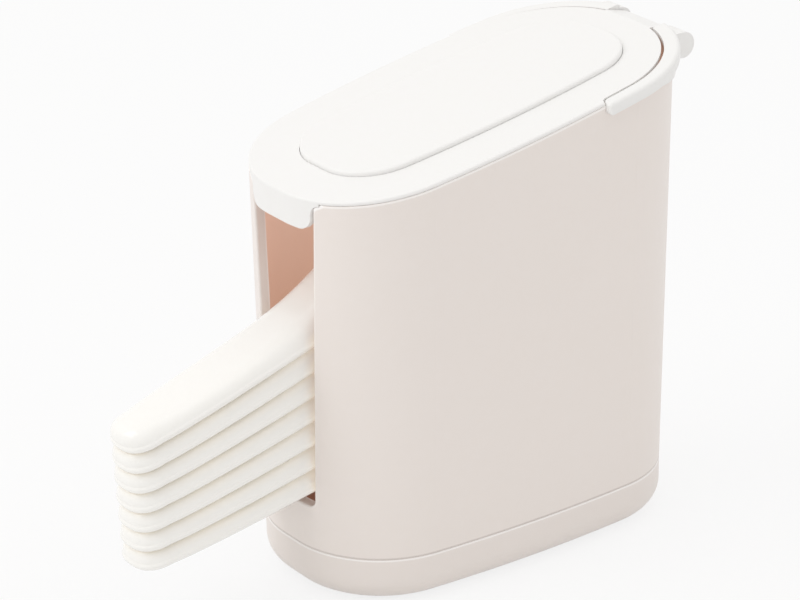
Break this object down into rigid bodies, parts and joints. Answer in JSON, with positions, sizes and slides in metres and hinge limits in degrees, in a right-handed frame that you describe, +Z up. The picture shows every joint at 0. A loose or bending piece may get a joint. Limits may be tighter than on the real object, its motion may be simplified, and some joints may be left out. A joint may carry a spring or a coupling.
{
  "type": "cutlery storage box",
  "caption": "Upright rounded box with a front slot for a nested stack of spoons, a hinged sloping lid with a raised panel, a sloping drain floor and a drip tray.",
  "frame": {"origin": "on the table under the middle of the box", "axes": "+Z up, the slot and the spoon handles face -Y, +X is the right-hand side seen from the slot"},
  "size_m": [0.113, 0.2812, 0.2167],
  "materials": {
    "ivory_plastic": "satin",
    "inner_plastic": "satin",
    "spoon_melamine": "glossy",
    "pin_steel": "drawn",
    "pad_rubber": "matt"
  },
  "bodies": {
    "tray": {"base_tray": "ivory_plastic", "foot_pad_1": "pad_rubber", "foot_pad_2": "pad_rubber", "foot_pad_3": "pad_rubber", "foot_pad_4": "pad_rubber"},
    "shell": {"body_shell": "ivory_plastic", "drain_floor": "inner_plastic", "hinge_collar": "ivory_plastic", "hinge_pin": "pin_steel"},
    "lid": {"lid": "ivory_plastic", "lid_panel": "ivory_plastic"},
    "spoon_1": {"spoon_1": "spoon_melamine"},
    "spoon_2": {"spoon_2": "spoon_melamine"},
    "spoon_3": {"spoon_3": "spoon_melamine"},
    "spoon_4": {"spoon_4": "spoon_melamine"},
    "spoon_5": {"spoon_5": "spoon_melamine"},
    "spoon_6": {"spoon_6": "spoon_melamine"},
    "spoon_7": {"spoon_7": "spoon_melamine"}
  },
  "joints": [
    {"name": "shell_lift", "type": "slide", "parent": "tray", "child": "shell", "axis": [0, 0, 1], "range_m": [0, 0.03]},
    {"name": "lid_hinge", "type": "hinge", "parent": "shell", "child": "lid", "pos_m": [0, 0.09873, 0.20917], "axis": [-1, 0, 0], "range_deg": [0, 105]},
    {"name": "spoon_7_lift", "type": "slide", "parent": "shell", "child": "spoon_7", "axis": [0, -0.1805, 0.9836], "range_m": [0, 0.012]},
    {"name": "spoon_6_lift", "type": "slide", "parent": "spoon_7", "child": "spoon_6", "axis": [0, -0.2012, 0.9795], "range_m": [0, 0.012]},
    {"name": "spoon_5_lift", "type": "slide", "parent": "spoon_6", "child": "spoon_5", "axis": [0, -0.2219, 0.9751], "range_m": [0, 0.012]},
    {"name": "spoon_4_lift", "type": "slide", "parent": "spoon_5", "child": "spoon_4", "axis": [0, -0.2424, 0.9702], "range_m": [0, 0.012]},
    {"name": "spoon_3_lift", "type": "slide", "parent": "spoon_4", "child": "spoon_3", "axis": [0, -0.2628, 0.9648], "range_m": [0, 0.012]},
    {"name": "spoon_2_lift", "type": "slide", "parent": "spoon_3", "child": "spoon_2", "axis": [0, -0.2831, 0.9591], "range_m": [0, 0.012]},
    {"name": "spoon_1_lift", "type": "slide", "parent": "spoon_2", "child": "spoon_1", "axis": [0, -0.3033, 0.9529], "range_m": [0, 0.012]}
  ]
}
